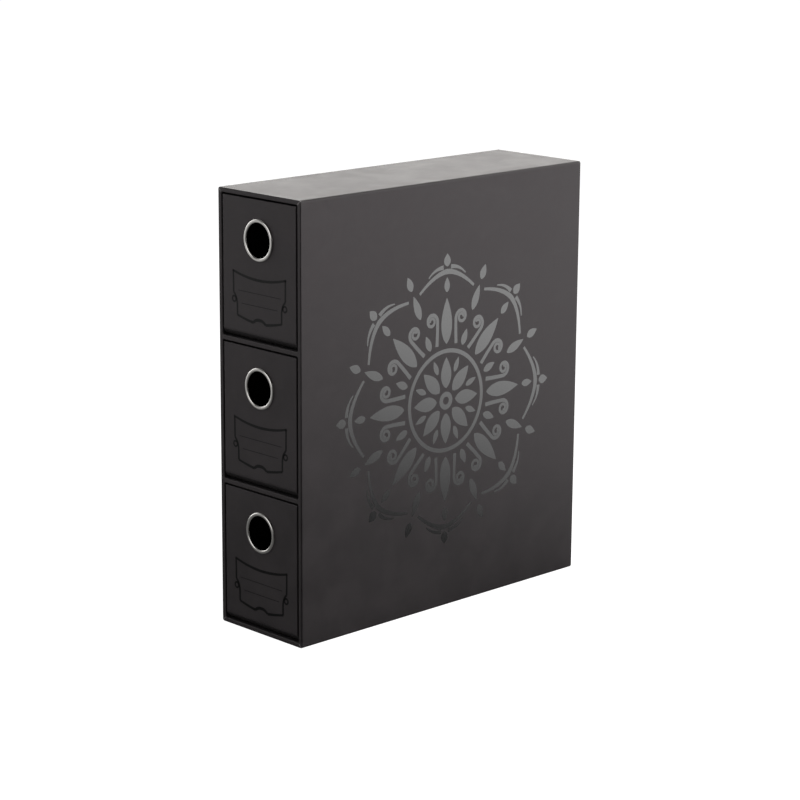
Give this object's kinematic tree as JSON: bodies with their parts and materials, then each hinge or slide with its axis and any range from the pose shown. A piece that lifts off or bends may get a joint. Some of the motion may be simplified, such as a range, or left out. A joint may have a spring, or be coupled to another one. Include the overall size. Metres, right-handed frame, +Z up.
{
  "type": "trading card drawer box",
  "caption": "Upright slipcase of wrapped black board holding card drawers one above the other, each pulled by a metal finger ring.",
  "frame": {"origin": "centre of the overall bounding box in X and Y, on the surface that the box stands on", "axes": "+Z up, -Y towards the front where the drawers open, +X to the right when facing the front"},
  "size_m": [0.0826, 0.2722, 0.305],
  "materials": {
    "black_wrap": "matte",
    "black_lining": "matte",
    "nickel_ring": "polished",
    "steel_washer": "satin"
  },
  "bodies": {
    "case": {"left_side_panel": "black_wrap", "right_side_panel": "black_wrap", "top_panel": "black_wrap", "bottom_panel": "black_wrap", "back_panel": "black_wrap", "divider_1": "black_wrap", "divider_2": "black_wrap"},
    "drawer_1": {"drawer_1_front": "black_wrap", "drawer_1_floor": "black_lining", "drawer_1_left_wall": "black_lining", "drawer_1_right_wall": "black_lining", "drawer_1_back_wall": "black_lining", "drawer_1_finger_ring": "nickel_ring", "drawer_1_ring_washer": "steel_washer"},
    "drawer_2": {"drawer_2_front": "black_wrap", "drawer_2_floor": "black_lining", "drawer_2_left_wall": "black_lining", "drawer_2_right_wall": "black_lining", "drawer_2_back_wall": "black_lining", "drawer_2_finger_ring": "nickel_ring", "drawer_2_ring_washer": "steel_washer"},
    "drawer_3": {"drawer_3_front": "black_wrap", "drawer_3_floor": "black_lining", "drawer_3_left_wall": "black_lining", "drawer_3_right_wall": "black_lining", "drawer_3_back_wall": "black_lining", "drawer_3_finger_ring": "nickel_ring", "drawer_3_ring_washer": "steel_washer"}
  },
  "joints": [
    {"name": "drawer_1_slide", "type": "slide", "parent": "case", "child": "drawer_1", "axis": [0, -1, 0], "range_m": [0, 0.245]},
    {"name": "drawer_2_slide", "type": "slide", "parent": "case", "child": "drawer_2", "axis": [0, -1, 0], "range_m": [0, 0.245]},
    {"name": "drawer_3_slide", "type": "slide", "parent": "case", "child": "drawer_3", "axis": [0, -1, 0], "range_m": [0, 0.245]}
  ]
}
